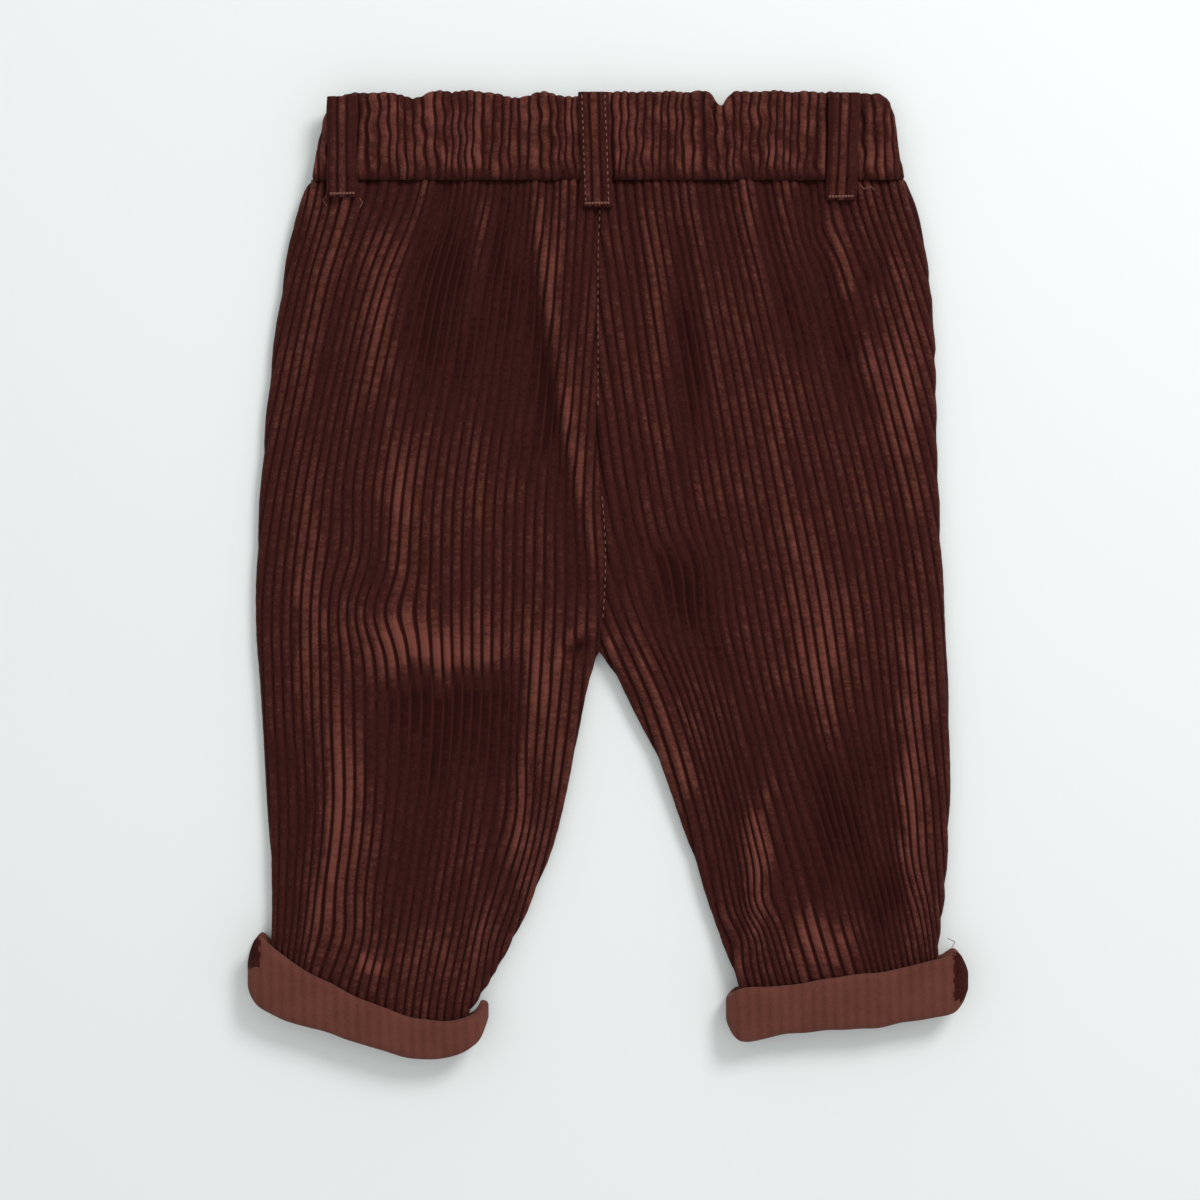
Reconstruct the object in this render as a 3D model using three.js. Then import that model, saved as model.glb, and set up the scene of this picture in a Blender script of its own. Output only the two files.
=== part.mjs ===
// A baby's wide-wale corduroy trousers, laid out flat with the back uppermost: two back and two front panels,
// a gathered elastic waistband, three belt loops and a turn-up at each leg end. Millimetres, +Z up, +Y towards the waist.
import * as THREE from "three";

// ---------- driving sizes ----------
const CLOTH = 2.0; // corduroy, from its wrong side to the top of its ribs
const SEAM_GAP = 0.3; // between two pieces where they are sewn together
const EDGE_ROUND = 13; // width over which a back panel rolls down to its side seam
const UNDER_ROUND = 8; // the same on the underside
const EDGE_POWER = 2.6; // 2 is a round edge, more is a boxier one
const SEAT_DIP = 0.8; // how far the back dips at the seat seam

const WAIST_SEAM_Y = 150.6; // height of the waist seam
const SEAT_SEAM_X = -3.5; // the seat seam lies a little off the middle
const BAND_DEPTH = 32.6; // waistband, from its top edge to the waist seam
const BAND_HALF_WIDTH = 113; // at the waist seam
const BAND_HALF_HEIGHT = 5.2; // half the thickness of the flattened waistband
const BAND_WALL = 4.4; // doubled cloth with the elastic between

const TURNUP_WALL = 3.4; // the rolled leg end, two layers pressed together
const TURNUP_EASE = 0.4; // between a turn-up and the leg inside it
const TURNUP_RETURN = 3.0; // depth of the fold that joins a turn-up to its leg

const LOOP_WALL = 1.8;
const LOOP_CLEAR = 0.4; // between a belt loop and the cloth it lies on

const BROWN_PILE = 0x4a2620;
const BROWN_WRONG_SIDE = 0x6a4034;

// ---------- tables ----------
// The seat seam, from the waist seam to the crotch. Each leg's sections start with these rows.
const SEAT_SEAM = [
  { x: -3.4, y: 150.3 },
  { x: -3.6, y: 138 },
  { x: -4.2, y: 122 },
  { x: -4.2, y: 86 },
  { x: -4.0, y: 48 },
  { x: -1.4, y: 8 },
  { x: -3.4, y: -24 },
];

// One row for each section of a leg, from the waist seam to the leg end. out is a point on the side seam, in one on
// the inseam, crown the top of the back, edge the height of the side seam, and base the underside of the front.
// inseam is 0 where the inner edge is the flat seat seam and 1 where it rolls down as the side does. bow is how far
// the middle of the section sags below a straight line.
const LEFT_SECTIONS = [
  { outX: -113.0, outY: 150.3, crown: 8.0, edge: 4.2, base: 0, inseam: 0, bow: 0 },
  { outX: -119.0, outY: 137, crown: 6.9, edge: 3.5, base: 0, inseam: 0, bow: 0 },
  { outX: -122.6, outY: 119, crown: 6.4, edge: 3.3, base: 0, inseam: 0, bow: 0 },
  { outX: -127.4, outY: 86, crown: 6.3, edge: 3.2, base: 0, inseam: 0, bow: 0 },
  { outX: -131.1, outY: 48, crown: 6.3, edge: 3.2, base: 0, inseam: 0, bow: 0 },
  { outX: -133.8, outY: 7, crown: 6.3, edge: 3.2, base: 0, inseam: 0, bow: 0 },
  { outX: -133.8, outY: -20, crown: 6.3, edge: 3.2, base: 0, inseam: 0.2, bow: 0 },
  { outX: -132.3, outY: -42, inX: -7.6, inY: -42, crown: 6.3, edge: 3.2, base: 0, inseam: 1, bow: 0 },
  { outX: -130.7, outY: -72, inX: -13.0, inY: -71, crown: 6.3, edge: 3.2, base: 0, inseam: 1, bow: 1 },
  { outX: -129.2, outY: -98, inX: -21.0, inY: -103, crown: 6.3, edge: 3.2, base: 0, inseam: 1, bow: 3 },
  { outX: -127.9, outY: -122, inX: -33.6, inY: -134, crown: 6.6, edge: 3.6, base: 0.6, inseam: 1, bow: 5 },
  { outX: -127.9, outY: -142, inX: -49.6, inY: -160, crown: 8.9, edge: 6.4, base: 3.9, inseam: 1, bow: 8 },
  { outX: -129.0, outY: -156, inX: -55.0, inY: -169, crown: 8.9, edge: 6.4, base: 3.9, inseam: 1, bow: 9 },
];
const RIGHT_SECTIONS = [
  { outX: 113.4, outY: 150.3, crown: 8.0, edge: 4.2, base: 0, inseam: 0, bow: 0 },
  { outX: 118.4, outY: 138, crown: 6.9, edge: 3.5, base: 0, inseam: 0, bow: 0 },
  { outX: 121.6, outY: 120, crown: 6.4, edge: 3.3, base: 0, inseam: 0, bow: 0 },
  { outX: 124.6, outY: 88, crown: 6.3, edge: 3.2, base: 0, inseam: 0, bow: 0 },
  { outX: 125.4, outY: 48, crown: 6.3, edge: 3.2, base: 0, inseam: 0, bow: 0 },
  { outX: 127.2, outY: 6, crown: 6.3, edge: 3.2, base: 0, inseam: 0, bow: 0 },
  { outX: 128.8, outY: -24, crown: 6.3, edge: 3.2, base: 0, inseam: 0.2, bow: 0 },
  { outX: 129.9, outY: -44, inX: 5.4, inY: -43, crown: 6.3, edge: 3.2, base: 0, inseam: 1, bow: 0 },
  { outX: 130.4, outY: -70, inX: 19.4, inY: -71, crown: 6.3, edge: 3.2, base: 0, inseam: 1, bow: 0 },
  { outX: 129.8, outY: -98, inX: 30.8, inY: -102, crown: 6.3, edge: 3.2, base: 0, inseam: 1, bow: 0 },
  { outX: 128.2, outY: -122, inX: 41.0, inY: -132, crown: 6.6, edge: 3.6, base: 0.6, inseam: 1, bow: 0 },
  { outX: 125.4, outY: -145, inX: 50.0, inY: -156, crown: 8.9, edge: 6.4, base: 3.9, inseam: 1, bow: 1 },
  { outX: 127.5, outY: -160, inX: 54.5, inY: -167, crown: 8.9, edge: 6.4, base: 3.9, inseam: 1, bow: 1.5 },
];

// A turn-up's free edge (top) and fold (bottom), from the side seam to the inseam.
const LEFT_TURNUP = [
  { x: -136.8, top: -146.0, bottom: -159.0 },
  { x: -131.6, top: -139.8, bottom: -164.8 },
  { x: -113.0, top: -151.2, bottom: -171.4 },
  { x: -90.0, top: -161.8, bottom: -178.6 },
  { x: -66.0, top: -169.0, bottom: -183.6 },
  { x: -50.0, top: -166.6, bottom: -178.4 },
  { x: -45.3, top: -161.6, bottom: -170.0 },
];
const RIGHT_TURNUP = [
  { x: 136.8, top: -149.8, bottom: -158.6 },
  { x: 131.4, top: -144.9, bottom: -165.8 },
  { x: 114.0, top: -148.4, bottom: -169.2 },
  { x: 92.0, top: -151.4, bottom: -171.8 },
  { x: 68.0, top: -155.4, bottom: -173.8 },
  { x: 50.5, top: -156.4, bottom: -176.8 },
  { x: 44.8, top: -158.6, bottom: -171.6 },
];

// The largest folds of the back, each a soft ridge (height above 0) or trough (below 0) along a curve from, via, to.
const FOLDS = [
  { fromX: -34, fromY: 148, viaX: -27, viaY: 80, toX: -10, toY: 4, width: 5, height: -1.7 },
  { fromX: -27, fromY: 146, viaX: -20, viaY: 80, toX: -7, toY: 10, width: 4, height: 1.2 },
  { fromX: -67, fromY: 148, viaX: -85, viaY: 115, toX: -96, toY: 62, width: 5, height: 1.6 },
  { fromX: -58, fromY: 142, viaX: -66, viaY: 104, toX: -71, toY: 52, width: 10, height: -1.6 },
  { fromX: -93, fromY: -18, viaX: -62, viaY: -46, toX: -28, toY: -24, width: 7, height: 1.4 },
  { fromX: -88, fromY: -46, viaX: -60, viaY: -58, toX: -34, toY: -44, width: 7, height: -1.3 },
  { fromX: -24, fromY: -30, viaX: -38, viaY: -74, toX: -41, toY: -126, width: 6, height: 1.2 },
  { fromX: -100, fromY: -46, viaX: -98, viaY: -112, toX: -114, toY: -134, width: 8, height: 1.4 },
  { fromX: -66, fromY: -64, viaX: -71, viaY: -104, toX: -78, toY: -134, width: 12, height: -1.4 },
  { fromX: 87, fromY: 138, viaX: 94, viaY: 100, toX: 108, toY: 44, width: 5, height: 1.5 },
  { fromX: 77, fromY: 138, viaX: 84, viaY: 104, toX: 93, toY: 54, width: 8, height: -1.5 },
  { fromX: 32, fromY: 146, viaX: 38, viaY: 104, toX: 44, toY: 62, width: 5, height: 1.3 },
  { fromX: 22, fromY: 140, viaX: 26, viaY: 92, toX: 21, toY: 46, width: 8, height: -1.5 },
  { fromX: 17, fromY: 6, viaX: 30, viaY: -26, toX: 44, toY: -58, width: 9, height: -1.5 },
  { fromX: 12, fromY: -34, viaX: 24, viaY: -70, toX: 42, toY: -122, width: 6, height: 1.2 },
  { fromX: 56, fromY: -80, viaX: 70, viaY: -112, toX: 56, toY: -134, width: 6, height: 1.4 },
  { fromX: 72, fromY: -66, viaX: 92, viaY: -104, toX: 102, toY: -132, width: 10, height: -1.4 },
  { fromX: 111, fromY: -44, viaX: 112, viaY: -94, toX: 117, toY: -130, width: 6, height: 1.0 },
];

// How far in from its width at the waist seam the waistband's side folds lie, at each depth below its top edge.
const BAND_ENDS = [
  { depth: 0, left: 13.5, right: 8.5 },
  { depth: 4, left: 7.6, right: 5.2 },
  { depth: 9, left: 4.8, right: 3.8 },
  { depth: 19, left: 2.6, right: 2.6 },
  { depth: 27, left: 1.2, right: 1.0 },
  { depth: BAND_DEPTH, left: 0, right: 0 },
];
// Where the gathers pull the waistband's top edge down.
const BAND_DIPS = [
  { x: -73.7, width: 5, depth: 2.4 },
  { x: -35.7, width: 6, depth: 2.2 },
  { x: -13.3, width: 6, depth: 2.0 },
  { x: 42.9, width: 3.4, depth: 5.0 },
  { x: 62, width: 11, depth: -0.7 },
];
const BELT_LOOPS = [
  { name: "belt_loop_left", x: -100.5, width: 11.5, top: 180, bottom: 143, lean: 0 },
  { name: "belt_loop_centre", x: -4.8, width: 11.5, top: 182, bottom: 139.5, lean: -1.5 },
  { name: "belt_loop_right", x: 89, width: 11.5, top: 182, bottom: 142, lean: 1.5 },
];

// ---------- shape helpers ----------
const { lerp, clamp } = THREE.MathUtils;
const CROTCH_ROW = SEAT_SEAM.length - 1;

// 0 at an edge, rising steeply and levelling off at 1 where distance reaches reach.
function edgeRise(distance, reach) {
  const left = 1 - clamp(distance / reach, 0, 1);
  return Math.pow(1 - Math.pow(left, EDGE_POWER), 1 / EDGE_POWER);
}

// A value between a table's rows that never overshoots them; share runs 0 to 1 down the table.
function easedColumn(rows, column, share) {
  const place = clamp(share, 0, 1) * (rows.length - 1);
  const i = Math.min(Math.floor(place), rows.length - 2);
  const eased = (1 - Math.cos(Math.PI * (place - i))) / 2;
  return lerp(rows[i][column], rows[i + 1][column], eased);
}

// A value read straight between the rows of a table sorted by key.
function straightColumn(rows, key, column, at) {
  const next = clamp(rows.findIndex((row) => at <= row[key]), 1, rows.length - 1);
  const share = (at - rows[next - 1][key]) / (rows[next][key] - rows[next - 1][key]);
  return lerp(rows[next - 1][column], rows[next][column], clamp(share, 0, 1));
}

function smoothCurve(rows, x, y) {
  return new THREE.SplineCurve(rows.map((row) => new THREE.Vector2(row[x], row[y])));
}

// Gives a function that reads a leg's section at a share of the way down: its two edges, on smooth curves, and its
// heights. The inner edge follows the seat seam down to the crotch and the inseam from there on.
function legReader(rows) {
  const side = Math.sign(SEAT_SEAM_X - rows[0].outX);
  const crotch = SEAT_SEAM[CROTCH_ROW];
  const outSeam = smoothCurve(rows, "outX", "outY");
  const seat = smoothCurve(SEAT_SEAM, "x", "y");
  const inseam = smoothCurve([{ inX: crotch.x, inY: crotch.y }, ...rows.slice(CROTCH_ROW + 1)], "inX", "inY");
  const crotchShare = CROTCH_ROW / (rows.length - 1);
  return (share) => {
    const inside = share <= crotchShare ? seat.getPoint(share / crotchShare)
      : inseam.getPoint((share - crotchShare) / (1 - crotchShare));
    inside.x -= (side * SEAM_GAP) / 2;
    const heights = ["crown", "edge", "base", "inseam", "bow"].map((name) => [name, easedColumn(rows, name, share)]);
    return { side, out: outSeam.getPoint(share), inside, ...Object.fromEntries(heights) };
  };
}
const readLeft = legReader(LEFT_SECTIONS);
const readRight = legReader(RIGHT_SECTIONS);

const FOLD_STEPS = 14;
const foldPaths = FOLDS.map((fold) => ({
  ...fold,
  points: new THREE.QuadraticBezierCurve(
    new THREE.Vector2(fold.fromX, fold.fromY),
    new THREE.Vector2(fold.viaX, fold.viaY),
    new THREE.Vector2(fold.toX, fold.toY),
  ).getPoints(FOLD_STEPS),
}));
const FOLD_END = 0.08; // a fold still has a little of its height at its two ends

// Height that the folds add at a point: each fades across its width and towards its two ends.
function foldHeight(x, y) {
  let height = 0;
  for (const fold of foldPaths) {
    const distances = fold.points.map((point) => Math.hypot(point.x - x, point.y - y));
    const nearest = Math.min(...distances);
    const along = distances.indexOf(nearest) / FOLD_STEPS;
    const fade = Math.sin(Math.PI * lerp(FOLD_END, 1 - FOLD_END, along));
    height += fold.height * fade * Math.exp(-((nearest / fold.width) ** 2));
  }
  return height;
}

function indexedGeometry(positions, triangles) {
  const geometry = new THREE.BufferGeometry();
  geometry.setAttribute("position", new THREE.Float32BufferAttribute(positions, 3));
  geometry.setIndex(triangles);
  geometry.computeVertexNormals();
  return geometry;
}

// A closed wall between two sheets of points: upper(u, v) and lower(u, v), with u across and v down. The columns are
// closer together near both edges, where the cloth rolls over.
function wallGeometry(upper, lower, { columns, rows }, flip) {
  const positions = [];
  for (const sheet of [upper, lower]) {
    for (let j = 0; j <= rows; j += 1) {
      for (let i = 0; i <= columns; i += 1) {
        positions.push(...sheet((1 - Math.cos((Math.PI * i) / columns)) / 2, j / rows));
      }
    }
  }
  const sheetSize = (columns + 1) * (rows + 1);
  const at = (sheet, i, j) => sheet * sheetSize + j * (columns + 1) + i;
  const triangles = [];
  const quad = (a, b, c, d) => triangles.push(...(flip ? [a, c, b, a, d, c] : [a, b, c, a, c, d]));
  for (let j = 0; j < rows; j += 1) {
    for (let i = 0; i < columns; i += 1) {
      quad(at(0, i, j), at(0, i, j + 1), at(0, i + 1, j + 1), at(0, i + 1, j));
      quad(at(1, i, j), at(1, i + 1, j), at(1, i + 1, j + 1), at(1, i, j + 1));
    }
    quad(at(0, 0, j), at(1, 0, j), at(1, 0, j + 1), at(0, 0, j + 1));
    quad(at(0, columns, j), at(0, columns, j + 1), at(1, columns, j + 1), at(1, columns, j));
  }
  for (let i = 0; i < columns; i += 1) {
    quad(at(0, i, 0), at(0, i + 1, 0), at(1, i + 1, 0), at(1, i, 0));
    quad(at(0, i, rows), at(1, i, rows), at(1, i + 1, rows), at(0, i + 1, rows));
  }
  return indexedGeometry(positions, triangles);
}

// A closed ring: point(i, k) for i round the ring and k round the wall's own section.
function ringGeometry(point, around, corners, flip) {
  const positions = [];
  for (let i = 0; i < around; i += 1) {
    for (let k = 0; k < corners; k += 1) positions.push(...point(i, k));
  }
  const at = (i, k) => (i % around) * corners + (k % corners);
  const triangles = [];
  const quad = (a, b, c, d) => triangles.push(...(flip ? [a, c, b, a, d, c] : [a, b, c, a, c, d]));
  for (let i = 0; i < around; i += 1) {
    for (let k = 0; k < corners; k += 1) quad(at(i, k), at(i, k + 1), at(i + 1, k + 1), at(i + 1, k));
  }
  return indexedGeometry(positions, triangles);
}

// Where step i of a flattened ring is: its share of the way across, and whether it is on the top (1) or under (-1).
function ringStep(i, around) {
  const angle = ((i % around) / around) * Math.PI * 2;
  const atEnd = i % (around / 2) === 0;
  return { across: (1 - Math.cos(angle)) / 2, face: atEnd ? 0 : Math.sign(Math.sin(angle)) };
}

const RING_ROUND = 1.6; // a flattened ring rounds off over this many of its half heights

function ringHeight(x, endA, endB, halfHeight) {
  return halfHeight * edgeRise(Math.min(Math.abs(x - endA), Math.abs(x - endB)), halfHeight * RING_ROUND);
}

function clothMesh(name, geometry, color) {
  const material = new THREE.MeshStandardMaterial({ color, roughness: 0.95, metalness: 0 });
  const mesh = new THREE.Mesh(geometry, material);
  mesh.name = name;
  return mesh;
}

// ---------- panels ----------
// A point of a panel's section: x and y at a share u of the way in, and how near it is to its two edges (0 at an edge).
function panelPoint(section, inset, round, u) {
  const outX = section.out.x + section.side * inset;
  const inX = section.inside.x - section.side * inset * section.inseam;
  const x = lerp(outX, inX, u);
  const y = lerp(section.out.y, section.inside.y, u) - section.bow * 4 * u * (1 - u);
  return { x, y, fromOut: edgeRise(Math.abs(x - outX), round), fromIn: edgeRise(Math.abs(inX - x), round) };
}

// A point of a back panel, inset below its outer face: 0 for the pile side, CLOTH for the wrong side.
function backPoint(section, inset, u) {
  const { x, y, fromOut, fromIn } = panelPoint(section, inset, EDGE_ROUND - inset, u);
  const crown = section.crown - inset;
  const seam = section.edge + SEAM_GAP / 2;
  const inner = lerp(crown - SEAT_DIP, seam, section.inseam);
  const z = crown - (crown - seam) * (1 - fromOut) - (crown - inner) * (1 - fromIn);
  return [x, y, z + foldHeight(x, y) * fromOut * fromIn];
}

// A point of a front panel, inset above its underside.
function frontPoint(section, inset, u) {
  const { x, y, fromOut, fromIn } = panelPoint(section, inset, UNDER_ROUND - inset, u);
  const base = section.base + inset;
  const seam = section.edge - SEAM_GAP / 2;
  const inner = lerp(base, seam, section.inseam);
  return [x, y, base + (seam - base) * (1 - fromOut) + (inner - base) * (1 - fromIn)];
}

const BACK_GRID = { columns: 16, rows: 30 };
const FRONT_GRID = { columns: 9, rows: 24 };

function backPanel(name, read, flip) {
  const sheet = (inset) => (u, v) => backPoint(read(v), inset, u);
  return clothMesh(name, wallGeometry(sheet(0), sheet(CLOTH), BACK_GRID, flip), BROWN_PILE);
}

function frontPanel(name, read, flip) {
  const sheet = (inset) => (u, v) => frontPoint(read(v), inset, u);
  return clothMesh(name, wallGeometry(sheet(CLOTH), sheet(0), FRONT_GRID, flip), BROWN_PILE);
}

// ---------- waistband ----------
const BAND_STEPS = 68;
// The band's own section: depth below its top edge, and inset from its outer face.
const BAND_SECTION = [
  { depth: 1.6, inset: 0 },
  { depth: 9, inset: 0 },
  { depth: 19, inset: 0 },
  { depth: BAND_DEPTH - 1, inset: 0 },
  { depth: BAND_DEPTH, inset: 0.8 },
  { depth: BAND_DEPTH, inset: BAND_WALL - 0.4 },
  { depth: BAND_DEPTH - 1, inset: BAND_WALL },
  { depth: 1.6, inset: BAND_WALL },
  { depth: 0, inset: BAND_WALL - 1.4 },
  { depth: 0, inset: 1.4 },
];

function topEdgeDip(x) {
  return BAND_DIPS.reduce((sum, dip) => sum + dip.depth * Math.exp(-(((x - dip.x) / dip.width) ** 2)), 0);
}

function bandPoint(i, k) {
  const { depth, inset } = BAND_SECTION[k];
  const { across, face } = ringStep(i, BAND_STEPS);
  const left = straightColumn(BAND_ENDS, "depth", "left", depth) + inset - BAND_HALF_WIDTH;
  const right = BAND_HALF_WIDTH - straightColumn(BAND_ENDS, "depth", "right", depth) - inset;
  const x = lerp(left, right, across);
  const y = WAIST_SEAM_Y + SEAM_GAP + BAND_DEPTH - depth - topEdgeDip(x) * (1 - depth / BAND_DEPTH);
  return [x, y, BAND_HALF_HEIGHT + face * ringHeight(x, left, right, BAND_HALF_HEIGHT - inset)];
}

// ---------- turn-ups ----------
const TURNUP_STEPS = 44;
const TURNUP_RETURN_INSET = TURNUP_WALL + TURNUP_EASE + CLOTH - SEAM_GAP;
// The turn-up's own section: share of the way from its free edge to its fold, and inset from its outer face.
const TURNUP_SECTION = [
  { share: 0, inset: 0.8 },
  { share: 0.06, inset: 0 },
  { share: 0.5, inset: 0 },
  { share: 0.9, inset: 0 },
  { share: 1, inset: 1.8 },
  { share: 1, inset: TURNUP_RETURN_INSET - 0.8 },
  { share: "return", inset: TURNUP_RETURN_INSET },
  { share: "return", inset: TURNUP_WALL },
  { share: 0.5, inset: TURNUP_WALL },
  { share: 0, inset: TURNUP_WALL },
];

// The turn-up lies over the leg's last section, moved out by its own wall and its ease.
function turnupPoint(rows, leg, i, k) {
  const { share, inset } = TURNUP_SECTION[k];
  const { across, face } = ringStep(i, TURNUP_STEPS);
  const free = smoothCurve(rows, "x", "top").getPoint(across);
  const fold = smoothCurve(rows, "x", "bottom").getPoint(across);
  const way = share === "return" ? 1 - TURNUP_RETURN / (free.y - fold.y) : share;
  const [start, end] = [rows[0].x, rows[rows.length - 1].x];
  const middle = (start + end) / 2;
  const halfWidth = Math.abs(end - start) / 2;
  const narrowed = (x) => middle + ((x - middle) * (halfWidth - inset)) / halfWidth;
  const x = narrowed(free.x);
  const halfHeight = (leg.crown - leg.base) / 2 + TURNUP_EASE + TURNUP_WALL - inset;
  const height = ringHeight(x, narrowed(start), narrowed(end), halfHeight);
  return [x, lerp(free.y, fold.y, way), (leg.crown + leg.base) / 2 + face * height];
}

function turnup(name, rows, read, flip) {
  const point = (i, k) => turnupPoint(rows, read(1), i, k);
  return clothMesh(name, ringGeometry(point, TURNUP_STEPS, TURNUP_SECTION.length, flip), BROWN_WRONG_SIDE);
}

// ---------- belt loops ----------
const LOOP_GRID = { columns: 3, rows: 11 };
const LOOP_STIFFNESS = 3; // a loop bridges steps in the cloth under it that are shorter than this

// Height of the outer face under a loop, on the waistband or just below it.
function faceUnderLoop(x, y) {
  if (y > WAIST_SEAM_Y) return BAND_HALF_HEIGHT + ringHeight(x, -BAND_HALF_WIDTH, BAND_HALF_WIDTH, BAND_HALF_HEIGHT);
  const read = x < SEAT_SEAM_X ? readLeft : readRight;
  const section = read((WAIST_SEAM_Y - y) / (SEAT_SEAM[0].y - SEAT_SEAM[1].y) / (LEFT_SECTIONS.length - 1));
  return backPoint(section, 0, clamp((x - section.out.x) / (section.inside.x - section.out.x), 0, 1))[2];
}

function beltLoop({ name, x, width, top, bottom, lean }) {
  const sheet = (out) => (u, v) => {
    const y = lerp(top, bottom, v);
    const across = x + (u - 0.5) * width + lean * (0.5 - v);
    const under = [-LOOP_STIFFNESS, 0, LOOP_STIFFNESS].map((step) => faceUnderLoop(across, y + step));
    return [across, y, Math.max(...under) + LOOP_CLEAR + out];
  };
  return clothMesh(name, wallGeometry(sheet(LOOP_WALL), sheet(0), LOOP_GRID, false), BROWN_PILE);
}

// ---------- the trousers ----------
const trousers = new THREE.Group();
trousers.name = "corduroy_trousers";
trousers.add(
  backPanel("back_left", readLeft, false),
  backPanel("back_right", readRight, true),
  frontPanel("front_left", readLeft, false),
  frontPanel("front_right", readRight, true),
  clothMesh("waistband", ringGeometry(bandPoint, BAND_STEPS, BAND_SECTION.length, false), BROWN_PILE),
  turnup("turnup_left", LEFT_TURNUP, readLeft, false),
  turnup("turnup_right", RIGHT_TURNUP, readRight, true),
  ...BELT_LOOPS.map(beltLoop),
);

export default trousers;
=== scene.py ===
# %% [markdown]
# # Baby's corduroy trousers, laid flat with the back uppermost
# Corduroy is a pile cloth: its short cut threads stand up in ribs that run the length of the garment.
# Everything here follows from that. Each panel is a thin shell whose surface is the cloth as it lies,
# with soft folds, and with ribs pressed into it that follow the cut of the cloth and not the outline of
# the leg.

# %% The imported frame
import math
import random

import bmesh
import bpy
import numpy as np
from mathutils import Matrix, Vector


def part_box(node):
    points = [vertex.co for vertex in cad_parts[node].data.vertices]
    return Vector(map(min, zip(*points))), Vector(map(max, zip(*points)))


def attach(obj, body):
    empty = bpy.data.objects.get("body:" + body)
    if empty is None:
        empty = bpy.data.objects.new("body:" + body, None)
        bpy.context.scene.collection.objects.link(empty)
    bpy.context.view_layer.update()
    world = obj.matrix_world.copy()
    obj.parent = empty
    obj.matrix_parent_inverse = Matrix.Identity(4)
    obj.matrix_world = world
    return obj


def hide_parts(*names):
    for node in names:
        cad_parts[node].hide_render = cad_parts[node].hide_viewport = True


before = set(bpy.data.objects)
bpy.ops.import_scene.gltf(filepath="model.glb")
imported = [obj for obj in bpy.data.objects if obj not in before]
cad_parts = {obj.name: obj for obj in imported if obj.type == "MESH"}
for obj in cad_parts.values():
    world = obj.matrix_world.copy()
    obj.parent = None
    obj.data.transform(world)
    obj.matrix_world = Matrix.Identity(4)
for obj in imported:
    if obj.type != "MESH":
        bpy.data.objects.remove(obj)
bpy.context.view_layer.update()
MM = 0.001

# %% [markdown]
# ## Sizes
# The pieces are worked out in millimetres. The edges of a leg come from a few sections, as a pattern
# cutter would mark them, and smooth curves join them.

# %% Driving sizes
RIB = 4.1  # one rib of wide corduroy with its valley, mm
BAND_RIB = 3.35  # the gathered waistband crowds its ribs together
LOOP_RIB = 3.6
RIB_HEIGHT = 0.95
RIB_INSET = RIB_HEIGHT * 0.6  # the sheet lies this far inside the form, and its ribs reach past it
CLOTH = 1.7  # wall of a panel under its ribs
LOOP_CLOTH = 1.3
EDGE_ROUND = 13.0  # how wide a strip of a back panel rolls over at its edge
UNDER_ROUND = 8.0  # the same for a front panel
EDGE_POWER = 2.6
SEAT_DIP = 0.9
SEAT_GROOVE = (1.3, 1.6)  # depth and half width
WAIST_GROOVE = (1.8, 2.4)
GATHER_HEIGHT = 2.4
GATHER_REACH = 14  # how far below the waist seam the gathers run
PLAIN_NAP = 0.47  # the pile of a back panel where no patch lies
UNBRUSHED_NAP = 0.42  # the pile of the front panels and the waistband
WAIST_SEAM_Y = 150.6
SEAT_SEAM_X = -3.5
BAND_DEPTH = 32.6
BAND_HALF_WIDTH = 113.0
BAND_HALF_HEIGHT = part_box("waistband")[1][2] / MM / 2
SEAM_GAP = 0.3

# %% Sections of the two legs
# The seat seam from the waist down to the crotch: x, y.
SEAT_SEAM = [(-3.4, 150.3), (-3.6, 138), (-4.2, 122), (-4.2, 86), (-4.0, 48), (-1.4, 8), (-3.2, -28)]
CROTCH_ROW = len(SEAT_SEAM) - 1
# outX, outY on the side seam; inX, inY on the inseam; crown of the back; height of the side seam; base of
# the front; inseam is 0 at the flat seat seam and 1 where the inner edge rolls; bow is how far the middle
# of the section sags.
SECTION = ("outX", "outY", "inX", "inY", "crown", "edge", "base", "inseam", "bow")
LEFT_SECTIONS = [
    (-113.0, 150.3, 0, 0, 8.0, 4.2, 0, 0, 0),
    (-119.0, 137, 0, 0, 6.9, 3.5, 0, 0, 0),
    (-122.6, 119, 0, 0, 6.4, 3.3, 0, 0, 0),
    (-127.4, 86, 0, 0, 6.3, 3.2, 0, 0, 0),
    (-131.1, 48, 0, 0, 6.3, 3.2, 0, 0, 0),
    (-133.8, 7, 0, 0, 6.3, 3.2, 0, 0, 0),
    (-133.8, -20, 0, 0, 6.3, 3.2, 0, 0.2, 0),
    (-132.3, -42, -7.6, -42, 6.3, 3.2, 0, 1, 0),
    (-130.7, -72, -13.0, -71, 6.3, 3.2, 0, 1, 1),
    (-129.2, -98, -21.0, -103, 6.3, 3.2, 0, 1, 3),
    (-127.9, -122, -33.6, -134, 6.6, 3.6, 0.6, 1, 5),
    (-127.9, -142, -48.6, -160, 8.9, 6.4, 3.9, 1, 8),
    (-129.0, -156, -55.0, -169, 8.9, 6.4, 3.9, 1, 9),
]
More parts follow.
